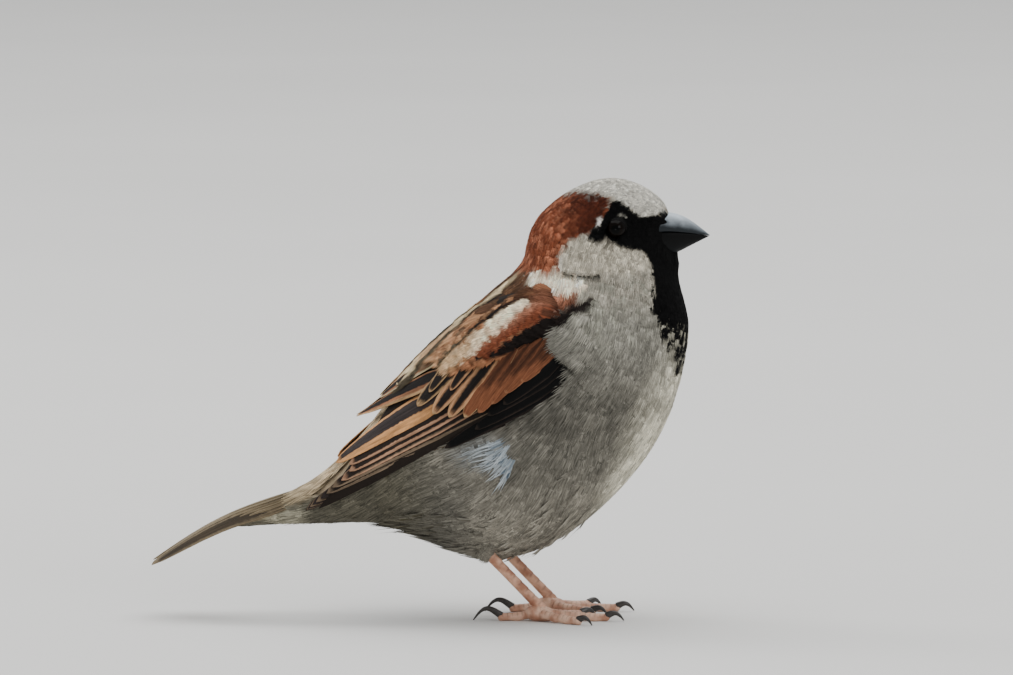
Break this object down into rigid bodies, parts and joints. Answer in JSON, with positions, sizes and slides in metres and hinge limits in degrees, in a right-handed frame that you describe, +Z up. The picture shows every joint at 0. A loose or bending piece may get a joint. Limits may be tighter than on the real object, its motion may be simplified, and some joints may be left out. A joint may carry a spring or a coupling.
{
  "type": "house sparrow, male",
  "caption": "Life-size still model of a standing male house sparrow with folded wings, a closed tail and bare legs, resting on the flats of its toes.",
  "frame": {"origin": "on the floor under the middle of the bird's length, on its midline", "axes": "+X from the tail towards the bill, +Y to the bird's left, +Z up from the soles"},
  "size_m": [0.1273, 0.0472, 0.1002],
  "materials": {
    "head_plumage": "soft small feathers: chestnut sides, grey crown, black face and bib, pale cheek",
    "body_plumage": "soft grey-buff feathers below, rufous with black streaks above",
    "wing_feathers": "satin vanes, dark brown with rufous and buff edges",
    "tail_feathers": "satin vanes, grey-brown with pale edges",
    "bill": "smooth slate-black horn",
    "eyes": "wet black-brown",
    "legs": "scaled flesh-brown skin",
    "claws": "smooth dark horn"
  },
  "bodies": {
    "root": {"bill_lower": "bill", "bill_upper": "bill", "claw_left_hind": "claws", "claw_left_inner": "claws", "claw_left_middle": "claws", "claw_left_outer": "claws", "claw_right_hind": "claws", "claw_right_inner": "claws", "claw_right_middle": "claws", "claw_right_outer": "claws", "eye_left": "eyes", "eye_right": "eyes", "foot_left": "legs", "foot_right": "legs", "head": "head_plumage", "neck": "body_plumage", "shank_left": "legs", "shank_right": "legs", "tail": "tail_feathers", "tail_coverts": "body_plumage", "thigh_left": "body_plumage", "thigh_right": "body_plumage", "toe_left_hind": "legs", "toe_left_inner": "legs", "toe_left_middle": "legs", "toe_left_outer": "legs", "toe_right_hind": "legs", "toe_right_inner": "legs", "toe_right_middle": "legs", "toe_right_outer": "legs", "trunk": "body_plumage", "wing_left_coverts": "wing_feathers", "wing_left_primaries": "wing_feathers", "wing_left_tertials": "wing_feathers", "wing_right_coverts": "wing_feathers", "wing_right_primaries": "wing_feathers", "wing_right_tertials": "wing_feathers"}
  },
  "joints": []
}
